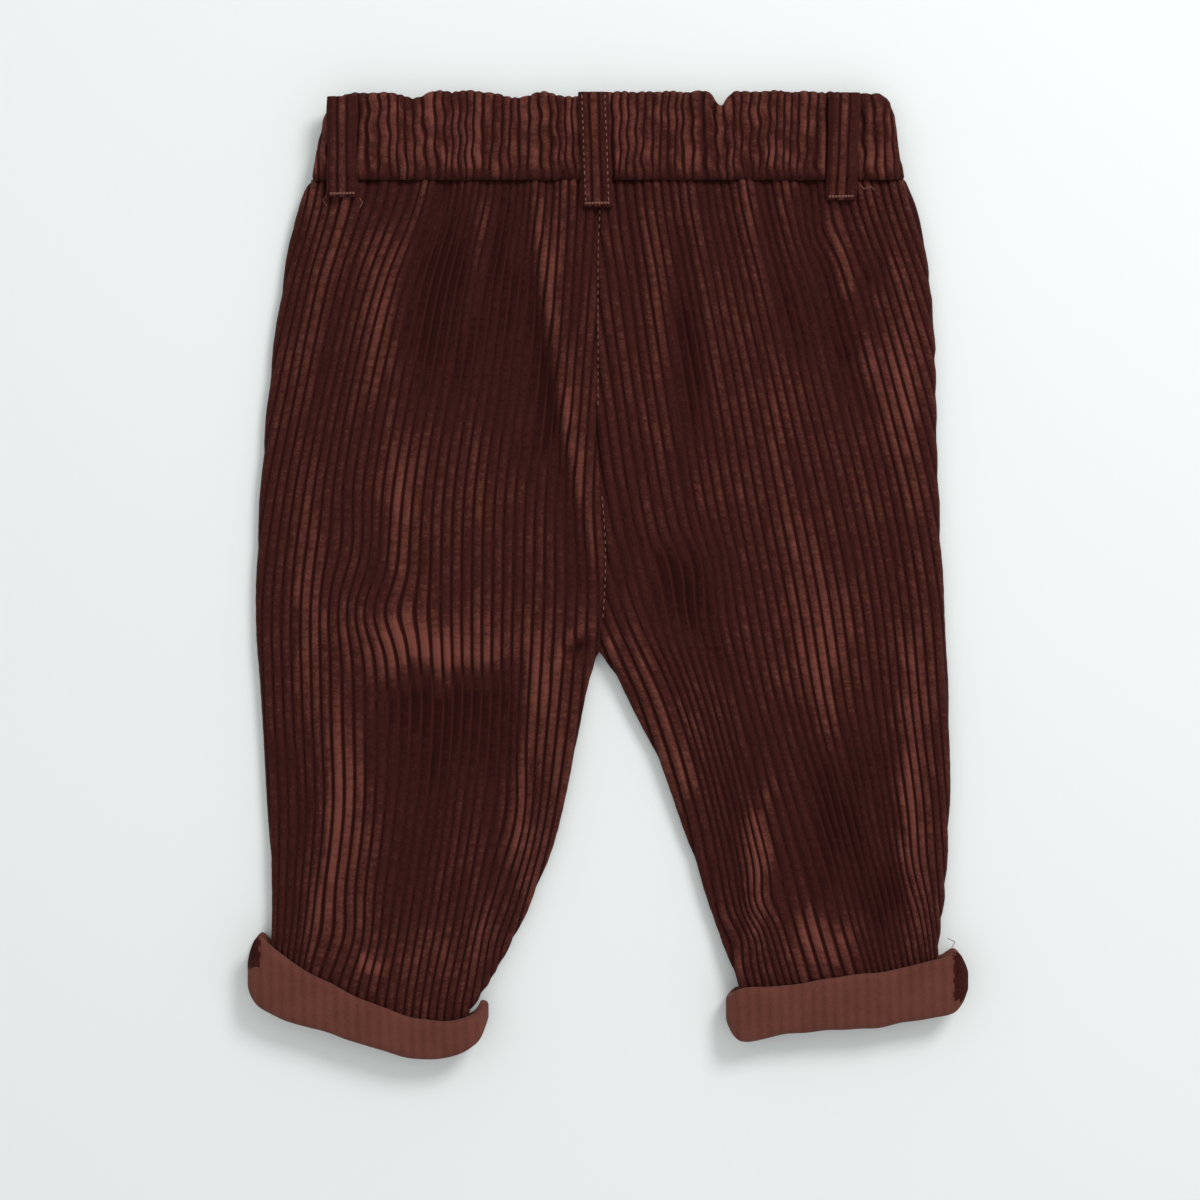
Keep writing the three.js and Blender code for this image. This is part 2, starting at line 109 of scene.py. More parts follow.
RIGHT_SECTIONS = [
    (113.4, 150.3, 0, 0, 8.0, 4.2, 0, 0, 0),
    (118.4, 138, 0, 0, 6.9, 3.5, 0, 0, 0),
    (121.6, 120, 0, 0, 6.4, 3.3, 0, 0, 0),
    (124.6, 88, 0, 0, 6.3, 3.2, 0, 0, 0),
    (125.4, 48, 0, 0, 6.3, 3.2, 0, 0, 0),
    (127.2, 6, 0, 0, 6.3, 3.2, 0, 0, 0),
    (128.8, -24, 0, 0, 6.3, 3.2, 0, 0.2, 0),
    (129.9, -44, 5.4, -43, 6.3, 3.2, 0, 1, 0),
    (130.4, -70, 19.4, -71, 6.3, 3.2, 0, 1, 0),
    (129.8, -98, 30.8, -102, 6.3, 3.2, 0, 1, 0),
    (128.2, -122, 41.0, -132, 6.6, 3.6, 0.6, 1, 0),
    (125.4, -145, 49.6, -156, 8.9, 6.4, 3.9, 1, 1),
    (127.5, -160, 54.5, -167, 8.9, 6.4, 3.9, 1, 1.5),
]

# %% [markdown]
# ## How the ribs run
# The ribs are the cloth's grain. On each half they lean away from the seat seam on the way down, so that
# some run out at the side seam over the hip and others at the inseam. A guide is one rib: its place
# across the uncut cloth, and where it lies at nine heights down the garment. Between guides the ribs are
# spread evenly.

# %% Rib guides
GUIDE_HEIGHTS = (150, 110, 70, 30, -10, -50, -90, -130, -170)
LEFT_GUIDES = [
    (-32, (-124, -135, -146, -155, -162, -160, -158, -156, -156)),
    (-3, (-103, -113, -121, -129, -134, -133, -131, -130, -131)),
    (28, (-71, -85, -95, -102, -106, -106, -105, -110, -117)),
    (68, (-44, -52, -58, -64, -65, -64, -67, -73, -79)),
    (108, (-17, -19, -22, -26, -27, -29, -33, -40, -49)),
    (132, (3, 0, -3, -5, -3, -6, -13, -25, -36)),
    (160, (28, 28, 26, 24, 22, 20, 14, 2, -8)),
]
RIGHT_GUIDES = [
    (-26, (-38, -36, -32, -26, -18, -2, 12, 22, 34)),
    (0, (-16, -11.5, -6, -0.4, 9, 26, 37.6, 46, 56)),
    (29, (10, 16, 22, 29, 36, 46, 56, 66, 76)),
    (52, (29, 36, 44, 51, 59, 67, 79, 91, 101)),
    (93, (61, 71, 81, 91, 99, 104, 110, 118, 122)),
    (110, (75, 86, 97, 107, 114, 118, 123, 126, 128)),
    (125, (88, 100, 111, 121, 128, 131, 133, 135, 137)),
    (156, (113, 126, 139, 149, 158, 162, 164, 166, 168)),
]
# Where the ribs swerve sideways: x, y, reach across, reach along, shift in mm of cloth.
RIB_SWERVES = [
    (-87, -14, 14, 12, 4.5),
    (-98, 12, 10, 14, -2.5),
    (58, -124, 7, 9, 4.0),
    (52, -138, 7, 8, -3.5),
    (116, -112, 7, 16, 3.0),
    (-35, -92, 9, 20, -3.5),
    (-42, -140, 8, 14, 3.0),
    (32, 2, 14, 14, -3.0),
    (-98, -138, 12, 14, -3.0),
    (80, 130, 7, 9, 2.5),
]

# %% [markdown]
# ## Folds
# Each fold is a soft ridge or trough along a curve, steeper on one side where the cloth laps over. They are
# uneven in length, width and height.

# %% Fold table
# Each row: from, via, to, width on its left looking along it, width on its right, height.
BACK_FOLDS = [
    ((-33, 149), (-27, 80), (-9, -2), 3.4, 6.0, -1.9),
    ((-28, 149), (-21.5, 80), (-4, 0), 5.0, 2.2, 1.9),
    ((-67, 149), (-85, 115), (-94, 62), 3.2, 5.5, 1.5),
    ((-58, 146), (-68, 104), (-74, 46), 9.0, 9.0, -1.5),
    ((-84, 60), (-78, 20), (-80, -30), 5.0, 4.0, 0.8),
    ((-48, 149), (-50, 118), (-55, 84), 3.0, 4.0, 1.0),
    ((-40, 147), (-41, 128), (-45, 102), 3.0, 3.0, -0.9),
    ((-18, 148), (-19, 130), (-20, 108), 2.5, 2.5, 0.9),
    ((-100, 146), (-108, 112), (-119, 64), 4.0, 5.0, 1.0),
    ((-92, 144), (-104, 104), (-110, 58), 4.0, 4.0, -0.9),
    ((-116, 40), (-117, -10), (-114, -60), 5.0, 5.0, 0.8),
    ((-92, -18), (-64, -42), (-30, -27), 7.0, 3.4, 1.6),
    ((-88, -44), (-60, -56), (-34, -42), 5.0, 7.0, -1.5),
    ((-24, -16), (-31, -60), (-37, -112), 4.0, 6.0, 1.5),
    ((-36, -46), (-43, -80), (-44, -126), 6.0, 5.0, -1.3),
    ((-104, -40), (-99, -96), (-113, -148), 5.0, 6.0, 1.3),
    ((-118, -60), (-114, -110), (-121, -140), 3.5, 3.5, -0.9),
    ((-72, -60), (-74, -100), (-82, -136), 10, 10, -1.0),
    ((-70, -136), (-62, -148), (-56, -160), 5.0, 5.0, 0.8),
    ((-44, -118), (-47, -140), (-56, -158), 2.5, 2.5, 1.0),
    ((-25, -50), (-18, -22), (-6, -19), 3.0, 3.2, 1.5),
    ((-17, -31), (-12, -26), (-6, -26), 2.0, 2.6, -3.2),
    ((-14, 4), (-10, -8), (-2, -14), 3.0, 3.0, -1.0),
    ((84, 141), (90, 108), (107, 60), 3.0, 5.0, 1.6),
    ((79, 139), (84, 104), (95, 60), 4.5, 6.0, -1.6),
    ((31, 149), (37, 106), (43, 60), 2.2, 4.5, 1.5),
    ((24, 146), (29, 100), (33, 44), 5.5, 4.0, -1.3),
    ((52, 148), (55, 124), (62, 92), 2.5, 3.5, 1.0),
    ((58, 147), (64, 118), (72, 84), 3.5, 5.0, -1.1),
    ((14, 148), (17, 120), (20, 76), 3.0, 3.0, 0.9),
    ((8, 146), (9, 116), (11, 70), 3.0, 3.0, -0.7),
    ((100, 147), (108, 122), (116, 96), 3.0, 3.0, 0.8),
    ((112, 92), (114, 60), (116, 20), 3.5, 4.5, 1.0),
    ((104, 60), (107, 30), (112, -14), 4.0, 4.0, -0.8),
    ((17, 12), (28, -12), (50, -44), 8.0, 7.0, -1.7),
    ((6, -8), (18, -46), (34, -88), 3.0, 4.5, 1.3),
    ((-1, -20), (3, -30), (10, -40), 2.2, 2.6, 1.0),
    ((60, 46), (72, 6), (84, -46), 8.0, 8.0, 0.9),
    ((54, -86), (63, -114), (53, -146), 3.0, 5.0, 1.5),
    ((48, -104), (53, -124), (50, -142), 3.0, 3.0, -1.2),
    ((70, -54), (84, -96), (106, -138), 8.0, 7.0, -1.6),
    ((76, -124), (79, -136), (86, -150), 8.0, 8.0, 0.9),
    ((113, -30), (113, -90), (117, -138), 4.0, 4.0, 1.2),
    ((103, -60), (106, -100), (111, -134), 3.0, 3.0, -0.7),
]
FRONT_FOLDS = [
    ((-60, 146), (-70, 100), (-78, 40), 6.0, 7.0, -0.7),
    ((40, 146), (50, 96), (52, 30), 7.0, 6.0, -0.8),
    ((-100, -30), (-70, -50), (-40, -38), 6.0, 8.0, -0.7),
    ((40, -20), (60, -60), (80, -110), 8.0, 7.0, -0.8),
]

# %% [markdown]
# ## Which way the pile lies
# Pile looks light where it leans to the lamp and dark where it leans away, and hands and washing leave it
# brushed in patches. The patches paint that light and shade of the pile and of the folds into the colour,
# together with the real brushing. Each patch is an oval: x, y, reach across, reach along, its turn in
# degrees, and how much lighter.

# %% Brushed patches, with painted light and shade
NAP_AND_PAINTED_SHADE_PATCHES = [
    (-57, 100, 20, 42, 12, -0.42),
    (-60, -58, 30, 21, 0, -0.46),
    (-76, -27, 24, 10, -8, 0.42),
    (-52, -22, 18, 9, 10, 0.22),
    (-21, -62, 8, 30, 10, 0.34),
    (-31, -108, 8, 28, 18, 0.30),
    (-98, -88, 9, 46, 2, 0.34),
    (-108, -130, 8, 18, 20, 0.16),
    (-112, -20, 5, 60, 0, 0.18),
    (-122, -60, 5, 60, -2, -0.14),
    (-110, -90, 3.5, 40, 2, -0.28),
    (-98, 122, 12, 26, 18, 0.14),
    (-77, 48, 8, 52, 4, 0.26),
    (-52, 36, 16, 24, 0, 0.16),
    (-88, 10, 7, 30, 0, -0.14),
    (-22, 66, 6, 50, -14, -0.34),
    (-15, 74, 3, 56, -14, 0.22),
    (-40, 120, 5, 26, 4, -0.22),
    (-46, 128, 4, 20, 4, 0.2),
    (-90, -147, 2.6, 3.4, 0, 0.85),
    (-85.5, -148.5, 1.8, 2.6, 0, 0.5),
    (-70, -142, 26, 10, 8, 0.14),
    (32, 88, 6, 46, -5, -0.34),
    (20, 80, 6, 50, -4, 0.12),
    (73, 96, 9, 20, -10, -0.3),
    (96, 102, 4, 24, -18, -0.42),
    (110, 60, 7, 42, -4, 0.24),
    (64, 60, 12, 18, -10, 0.18),
    (28, -4, 17, 13, 30, -0.42),
    (80, -32, 13, 24, -14, 0.36),
    (60, -62, 9, 24, -14, -0.2),
    (87, -92, 12, 34, -24, -0.42),
    (106, -124, 8, 16, -20, -0.42),
    (80, -139, 14, 11, 0, 0.36),
    (117, -72, 6, 62, 0, 0.26),
    (57, -104, 5, 22, -14, 0.26),
    (46, -92, 4, 24, -18, -0.22),
    (24, -72, 5, 26, -24, 0.24),
    (8, 20, 5, 34, -6, -0.18),
    (4, -26, 5, 7, -20, 0.15),
]
BAND_NAP = 0.23  # the waistband is rubbed lighter all round

# %% [markdown]
# ## Working out the surface
# numpy does the arithmetic for a whole grid of points at once. `smooth_table` joins table rows by a
# smooth curve, `edge_rise` is the profile of a rolled edge, and `fold_heights` adds up the folds.

# %% Shape helpers
def smooth_table(rows, share):
    """Points on a Catmull-Rom curve through rows, at shares 0 to 1 of the way down the table."""
    rows = np.asarray(rows, float)
    place = np.clip(share, 0, 1) * (len(rows) - 1)
    i = np.minimum(place.astype(int), len(rows) - 2)
    t = (place - i)[..., None]
    a, b = rows[np.maximum(i - 1, 0)], rows[i]
    c, d = rows[i + 1], rows[np.minimum(i + 2, len(rows) - 1)]
    return b + 0.5 * t * (c - a + t * (2 * a - 5 * b + 4 * c - d + t * (3 * (b - c) + d - a)))


def eased_table(rows, share):
    """Values eased from one row of a table to the next."""
    place = np.clip(share, 0, 1) * (len(rows) - 1)
    i = np.minimum(place.astype(int), len(rows) - 2)
    t = (1 - np.cos(np.pi * (place - i))) / 2
    rows = np.asarray(rows, float)
    return rows[i] * (1 - t) + rows[i + 1] * t


def edge_rise(distance, reach):
    """0 at an edge, rising to 1 at reach from it, round like folded cloth."""
    left = 1 - np.clip(distance / reach, 0, 1)
    return (1 - left**EDGE_POWER) ** (1 / EDGE_POWER)


def groove(distance, depth, half_width):
    """A narrow trough where distance is 0."""
    return -depth * np.exp(-((distance / half_width) ** 2))


def fold_heights(folds, x, y):
    """The height that all folds add. Each is a quadratic curve, felt from its nearest point."""
    total = np.zeros_like(x)
    for start, via, end, left_width, right_width, height in folds:
        t = np.linspace(0, 1, 25)
        path = np.outer((1 - t) ** 2, start) + np.outer(2 * t * (1 - t), via) + np.outer(t**2, end)
        nearest = np.full(x.shape, np.inf)
        along = np.zeros_like(x)
        side = np.zeros_like(x)
        for k in range(len(path) - 1):
            step = path[k + 1] - path[k]
            rx, ry = x - path[k][0], y - path[k][1]
            s = np.clip((rx * step[0] + ry * step[1]) / (step @ step), 0, 1)
            distance = np.hypot(rx - s * step[0], ry - s * step[1])
            closer = distance < nearest
            nearest = np.where(closer, distance, nearest)
            along = np.where(closer, (k + s) / (len(path) - 1), along)
            side = np.where(closer, step[0] * ry - step[1] * rx, side)
        width = np.where(side > 0, left_width, right_width)
        fade = np.sin(np.pi * (0.06 + 0.88 * along)) ** 0.8
        total += height * fade * np.exp(-((nearest / width) ** 1.6))
    return total


def rib_slip(cloth, reach=10.0):
    """How far each rib's own brushing and painted shade is shifted along it, in mm, so that the edge of a
    patch is ragged.
    """
    number = np.floor(cloth / RIB)
    return reach * (2 * np.modf(np.abs(np.sin(number * 12.99) * 437.6))[0] - 1)


def nap_and_shade_at(x, y, slip=0.0):
    """How light the pile looks at each point, with its painted light and shade: 0.5 is plain, 0 darkest, 1
    lightest.
    """
    nap_and_shade = np.full_like(x, PLAIN_NAP)
    for px, py, across, along, turn, value in NAP_AND_PAINTED_SHADE_PATCHES:
        c, s = math.cos(math.radians(turn)), math.sin(math.radians(turn))
        dx = x - px
        dy = y - py + slip * min(1, along / 25) * (along > 6)
        u, v = (dx * c + dy * s) / across, (-dx * s + dy * c) / along
        nap_and_shade += value * np.exp(-(u * u + v * v))
    return nap_and_shade


def rib_place(guides, x, y):
    """Place across the uncut cloth, in mm, of each point, from the guides at that point's height."""
    heights = np.array(GUIDE_HEIGHTS, float)
    share = (heights[0] - y) / (heights[0] - heights[-1])
    lanes = np.stack([smooth_table(np.array(xs)[:, None], share)[..., 0] for _, xs in guides])
    places = [place for place, _ in guides]
    cloth = np.full_like(x, places[0])
    for k in range(len(guides) - 1):
        t = (x - lanes[k]) / (lanes[k + 1] - lanes[k])
        inside = t >= 0
        cloth = np.where(inside, places[k] + np.minimum(t, 1.0) * (places[k + 1] - places[k]), cloth)
    for px, py, across, along, shift in RIB_SWERVES:
        cloth += shift * np.exp(-(((x - px) / across) ** 2) - ((y - py) / along) ** 2)
    return cloth


def wavy(x, y, seed, reach, height):
    """Slow, uneven waves that keep a surface from looking ruled."""
    waves = np.zeros_like(x)
    draw = random.Random(seed)
    for _ in range(6):
        angle, turn, size = draw.uniform(0, 3.14), draw.uniform(0, 6.28), draw.uniform(0.6, 1.7)
        waves += np.sin((x * math.cos(angle) + y * math.sin(angle)) / reach / size * 2 * math.pi + turn)
    return height * waves / 6


def rib_relief(cloth, y):
    """Height of the ribs above their valleys, 0 to 1: round tops and narrow valleys, a little uneven."""
    place = cloth / RIB
    wave = np.abs(np.sin(np.pi * place))
    uneven = 1 + 0.10 * np.sin(place * 2.1 + y * 0.11) + 0.08 * np.sin(y * 0.9 + np.floor(place) * 2.3)
    return np.minimum(wave, 1) ** 0.62 * uneven


# %% [markdown]
# ## From a grid of points to a piece of cloth
# `bmesh.ops.create_grid` makes the sheet, and its corners are then put where the arithmetic says. The piece
# keeps a UV map called ribs (rib number, length along the rib) and an attribute holding the pile's nap with
# its painted light and shade, which the cloth's material reads, so the pattern follows the cloth round every
# fold.

# %% Sheet builder
def sheet_object(name, points, ribs, nap_and_shade, material, wrap=False, up=1):
    """points, ribs and the pile's nap with its painted light and shade are arrays whose first two axes are
    the columns and rows of the sheet.

    wrap joins its opposite edges into a closed ring. up is 1 where the cloth's face looks up, and -1 down.
    """
    columns, rows = points.shape[0] - 1, points.shape[1] - 1
    bm = bmesh.new()
    bmesh.ops.create_grid(bm, x_segments=columns, y_segments=rows, size=1)
    mesh = bpy.data.meshes.new(name)
    bm.to_mesh(mesh)
    bm.free()
    flat = np.empty(len(mesh.vertices) * 3)
    mesh.vertices.foreach_get("co", flat)
    flat = flat.reshape(-1, 3)
    i = np.rint((flat[:, 0] + 1) / 2 * columns).astype(int)
    j = np.rint((flat[:, 1] + 1) / 2 * rows).astype(int)
    mesh.vertices.foreach_set("co", (points[i, j] * MM).ravel())
    corner = np.empty(len(mesh.loops), int)
    mesh.loops.foreach_get("vertex_index", corner)
    uv = mesh.uv_layers.new(name="ribs")
    uv.data.foreach_set("uv", ribs[i, j][corner].ravel())
    layer = mesh.attributes.new("nap_and_shade", "FLOAT", "POINT")
    layer.data.foreach_set("value", nap_and_shade[i, j].astype(float))
    bm = bmesh.new()
    bm.from_mesh(mesh)
    bm.normal_update()
    if wrap:
        bmesh.ops.remove_doubles(bm, verts=bm.verts, dist=1e-7)
        bmesh.ops.recalc_face_normals(bm, faces=bm.faces)
    elif sum(face.normal.z * face.calc_area() for face in bm.faces) * up < 0:
        bmesh.ops.reverse_faces(bm, faces=bm.faces)
    for face in bm.faces:
        face.smooth = True
    bm.to_mesh(mesh)
    bm.free()
    mesh.materials.append(material)
    piece = bpy.data.objects.new(name, mesh)
    bpy.context.scene.collection.objects.link(piece)
    print(f"{name}: {len(mesh.polygons)} faces")
    return piece


def grid_normals(points):
    """Unit normals of a sheet of points, by the slopes along its two directions."""
    du = np.gradient(points, axis=0)
    dv = np.gradient(points, axis=1)
    normal = np.cross(du, dv)
    return normal / np.maximum(np.linalg.norm(normal, axis=2, keepdims=True), 1e-9)


def thicken(piece, thickness):
    """A wall of cloth, added on the wrong side of the sheet."""
    wall = piece.modifiers.new("wall", "SOLIDIFY")
    wall.thickness = thickness * MM
    wall.offset = -1
    return piece


# %% [markdown]
# ## Materials
# Cotton corduroy: thousands of cut fibres scatter light, so it is matt with a soft sheen at its edges, dark
# where one looks into the pile and lighter on brushed ribs, and its colour also holds painted light and
# shade. The colours are sRGB, turned to linear by one function.

# %% Material helpers
MATH = "ShaderNodeMath"
VECTOR_MATH = "ShaderNodeVectorMath"
NOISE = "ShaderNodeTexNoise"
RANGE = "ShaderNodeMapRange"
SOFT_STEP = {"interpolation_type": "SMOOTHSTEP"}


def linear(code):
    """Linear RGBA of an sRGB hex colour."""
    parts = [int(code[k : k + 2], 16) / 255 for k in (1, 3, 5)]
    return tuple(p / 12.92 if p <= 0.04045 else ((p + 0.055) / 1.055) ** 2.4 for p in parts) + (1.0,)


def new_material(name):
    """A material with its node tree and its shader."""
    material = bpy.data.materials.new(name)
    material.use_nodes = True
    return material, material.node_tree, material.node_tree.nodes["Principled BSDF"]


def add(tree, kind, settings=None, **links):
    """Add a node. settings are its properties. links are its inputs: values or other nodes' outputs."""
    node = tree.nodes.new(kind)
    for key, value in (settings or {}).items():
        setattr(node, key, value)
    for key, value in links.items():
        socket = node.inputs[int(key[1:])] if key[0] == "i" and key[1:].isdigit() else node.inputs[key]
        if isinstance(value, bpy.types.NodeSocket):
            tree.links.new(value, socket)
        else:
            socket.default_value = value
    return node


# %% Cotton corduroy
def make_corduroy(name, dark, plain, light):
    """Cut pile in ribs. The valleys get painted shade on light pile, and painted light, a little lighter, on
    dark pile.
    """
    material, tree, shader = new_material(name)
    ribs = add(tree, "ShaderNodeUVMap", {"uv_map": "ribs"}).outputs[0]
    split = add(tree, "ShaderNodeSeparateXYZ", i0=ribs)
    nap_and_shade = add(tree, "ShaderNodeAttribute", {"attribute_name": "nap_and_shade"}).outputs["Fac"]
    place = add(tree, MATH, {"operation": "PINGPONG"}, i0=split.outputs[0], i1=0.5).outputs[0]
    top = add(tree, MATH, {"operation": "MULTIPLY"}, i0=place, i1=2.0).outputs[0]
    valley_shade_mask = add(
        tree, RANGE, SOFT_STEP, i0=top, i1=0.05, i2=0.48, i3=1.0, i4=0.0
    ).outputs[0]
    coords = add(tree, "ShaderNodeTexCoord").outputs["Object"]
    # tufts about 0.7 mm across; clumps about 4 mm; streaks that run on along a rib for a few centimetres
    tufts = add(tree, NOISE, i0=coords, Scale=1400.0, Detail=3.0, Roughness=0.65).outputs["Fac"]
    clumps = add(tree, NOISE, i0=coords, Scale=230.0, Detail=3.0, Roughness=0.6).outputs["Fac"]
    squeezed = add(tree, VECTOR_MATH, {"operation": "MULTIPLY"}, i0=ribs, i1=(1.0, 0.045, 1.0)).outputs[0]
    streaks = add(tree, NOISE, i0=squeezed, Scale=1.0, Detail=2.0, Roughness=0.5).outputs["Fac"]
    crossed = add(tree, VECTOR_MATH, {"operation": "MULTIPLY"}, i0=ribs, i1=(0.7, 0.55, 1.0)).outputs[0]
    breaks = add(tree, NOISE, i0=crossed, Scale=1.0, Detail=2.0, Roughness=0.6).outputs["Fac"]
    tone = nap_and_shade
    for noise, amount in ((tufts, 0.75), (clumps, 0.40), (streaks, 0.50), (breaks, 0.60)):
        centred = add(tree, MATH, {"operation": "SUBTRACT"}, i0=noise, i1=0.5).outputs[0]
        tone = add(tree, MATH, {"operation": "MULTIPLY_ADD"}, i0=centred, i1=amount, i2=tone).outputs[0]
    # in a valley the tone moves towards a middling dark value, which is lighter than a dark patch's ribs:
    # painted shade in the valleys of light pile, painted light in those of dark pile
    shade = add(
        tree, RANGE, SOFT_STEP, i0=tone, i1=0.05, i2=0.85, i3=0.42, i4=-0.30
    ).outputs[0]
    tone_with_valley_shade = add(tree, "ShaderNodeMix", {"data_type": "FLOAT"}, i0=valley_shade_mask, i2=tone, i3=shade).outputs[0]
    colour = add(tree, "ShaderNodeValToRGB", i0=tone_with_valley_shade)
    ramp = colour.color_ramp
    ramp.elements[0].position, ramp.elements[0].color = 0.0, linear(dark)
    ramp.elements[1].position, ramp.elements[1].color = 1.0, linear(light)
    ramp.elements.new(0.5).color = linear(plain)
    tree.links.new(colour.outputs[0], shader.inputs["Base Color"])
    relief = add(tree, MATH, {"operation": "MULTIPLY_ADD"}, i0=tufts, i1=0.45, i2=top).outputs[0]
    relief = add(tree, MATH, {"operation": "MULTIPLY_ADD"}, i0=breaks, i1=0.5, i2=relief).outputs[0]
    bump = add(tree, "ShaderNodeBump", Strength=0.8, Distance=0.6 * MM, Height=relief)
    tree.links.new(bump.outputs[0], shader.inputs["Normal"])
    shader.inputs["Roughness"].default_value = 0.95
    shader.inputs["Specular IOR Level"].default_value = 0.12
    shader.inputs["Sheen Weight"].default_value = 0.16
    shader.inputs["Sheen Roughness"].default_value = 0.45
    shader.inputs["Sheen Tint"].default_value = linear("#A8705A")
    return material


corduroy = make_corduroy("cotton corduroy, cut pile", "#290A08", "#401B17", "#6F3D34")


# %% The wrong side of the corduroy
def make_wrong_side(name):
    """A plain twill ground with no pile. The ribs behind it show as faint stripes 4 mm apart."""
    material, tree, shader = new_material(name)
    ribs = add(tree, "ShaderNodeUVMap", {"uv_map": "ribs"}).outputs[0]
    split = add(tree, "ShaderNodeSeparateXYZ", i0=ribs)
    place = add(tree, MATH, {"operation": "PINGPONG"}, i0=split.outputs[0], i1=0.5).outputs[0]
    # yarns about 0.7 mm apart, coarser than real ones so that the weave shows
    along = add(tree, MATH, {"operation": "MULTIPLY"}, i0=split.outputs[1], i1=2 * math.pi / 0.75).outputs[0]
    across = add(
        tree, MATH, {"operation": "MULTIPLY"}, i0=split.outputs[0], i1=2 * math.pi * RIB / 0.62
    ).outputs[0]
    diagonal = add(tree, MATH, {"operation": "ADD"}, i0=along, i1=across).outputs[0]
    twill = add(tree, MATH, {"operation": "SINE"}, i0=diagonal).outputs[0]
    coords = add(tree, "ShaderNodeTexCoord").outputs["Object"]
    fuzz = add(tree, NOISE, i0=coords, Scale=1100.0, Detail=3.0, Roughness=0.6).outputs["Fac"]
    patchy = add(tree, NOISE, i0=coords, Scale=70.0, Detail=3.0, Roughness=0.6).outputs["Fac"]
    tone = add(tree, MATH, {"operation": "MULTIPLY_ADD"}, i0=place, i1=0.55, i2=-0.05).outputs[0]
    for noise, amount in ((fuzz, 0.7), (patchy, 0.7), (twill, 0.10)):
        tone = add(tree, MATH, {"operation": "MULTIPLY_ADD"}, i0=noise, i1=amount, i2=tone).outputs[0]
    colour = add(tree, "ShaderNodeValToRGB", i0=tone)
    ramp = colour.color_ramp
    ramp.elements[0].position, ramp.elements[0].color = 0.25, linear("#4B261D")
    ramp.elements[1].position, ramp.elements[1].color = 0.95, linear("#6A3B31")
    tree.links.new(colour.outputs[0], shader.inputs["Base Color"])
    height = add(tree, MATH, {"operation": "MULTIPLY_ADD"}, i0=fuzz, i1=1.2, i2=twill).outputs[0]
    bump = add(tree, "ShaderNodeBump", Strength=0.35, Distance=0.12 * MM, Height=height)
    tree.links.new(bump.outputs[0], shader.inputs["Normal"])
    shader.inputs["Roughness"].default_value = 0.92
    shader.inputs["Specular IOR Level"].default_value = 0.15
    shader.inputs["Sheen Weight"].default_value = 0.08
    return material


wrong_side = make_wrong_side("corduroy, wrong side")


# %% Sewing thread
def make_thread(name, code):
    """Spun polyester thread, a shade lighter than the cloth so that the rows show."""
    material, tree, shader = new_material(name)
    coords = add(tree, "ShaderNodeTexCoord").outputs["Object"]
    twist = add(tree, NOISE, i0=coords, Scale=2500.0, Detail=1.0).outputs["Fac"]
    colour = add(tree, "ShaderNodeValToRGB", i0=twist)
    colour.color_ramp.elements[0].color = tuple(c * 0.6 for c in linear(code)[:3]) + (1,)
    colour.color_ramp.elements[1].color = linear(code)
    tree.links.new(colour.outputs[0], shader.inputs["Base Color"])
    shader.inputs["Roughness"].default_value = 0.7
    return material


thread = make_thread("polyester thread", "#875648")


# %% [markdown]
# ## The leg panels
# A back panel rolls down to its side seam and, below the crotch, to its inseam. Its columns are close
# enough to give each rib eight of them. The ribs are pushed out along the surface's own normal, so they
# also show in the outline where they run out at the seam.

# %% Panel surfaces
class Leg:
    """The sections of one leg, read at any share of the way down."""

    def __init__(self, sections, guides):
        table = {name: [row[k] for row in sections] for k, name in enumerate(SECTION)}
        self.table, self.guides = table, guides
        self.side = 1 if table["outX"][0] < SEAT_SEAM_X else -1
        self.inseam_rows = [SEAT_SEAM[-1]] + list(zip(table["inX"], table["inY"]))[CROTCH_ROW + 1 :]
        self.crotch = CROTCH_ROW / (len(sections) - 1)

    def read(self, share):
        """Outer edge, inner edge and heights at each share of the way down."""
        out = smooth_table(list(zip(self.table["outX"], self.table["outY"])), share)
        seat = smooth_table(SEAT_SEAM, share / self.crotch)
        inseam = smooth_table(self.inseam_rows, (share - self.crotch) / (1 - self.crotch))
        inner = np.where((share <= self.crotch)[..., None], seat, inseam)
        inner[..., 0] -= self.side * SEAM_GAP / 2
        return out, inner, {k: eased_table(self.table[k], share) for k in SECTION[4:]}


def panel_grid(leg, columns, rows, inset, reach):
    """x, y and nearness to the two rolled edges. Columns crowd together where an edge rolls over."""
    u = np.linspace(0, 1, columns + 1)[:, None]
    u = u - 0.035 * np.sin(2 * np.pi * u)
    v = np.linspace(0, 1, rows + 1)[None, :] * np.ones_like(u)
    out, inner, h = leg.read(v)
    out_x = out[..., 0] + leg.side * inset
    in_x = inner[..., 0] - leg.side * inset * h["inseam"]
    x = out_x + (in_x - out_x) * u
    y = out[..., 1] + (inner[..., 1] - out[..., 1]) * u - h["bow"] * 4 * u * (1 - u)
    return x, y, edge_rise(np.abs(x - out_x), reach), edge_rise(np.abs(in_x - x), reach), h


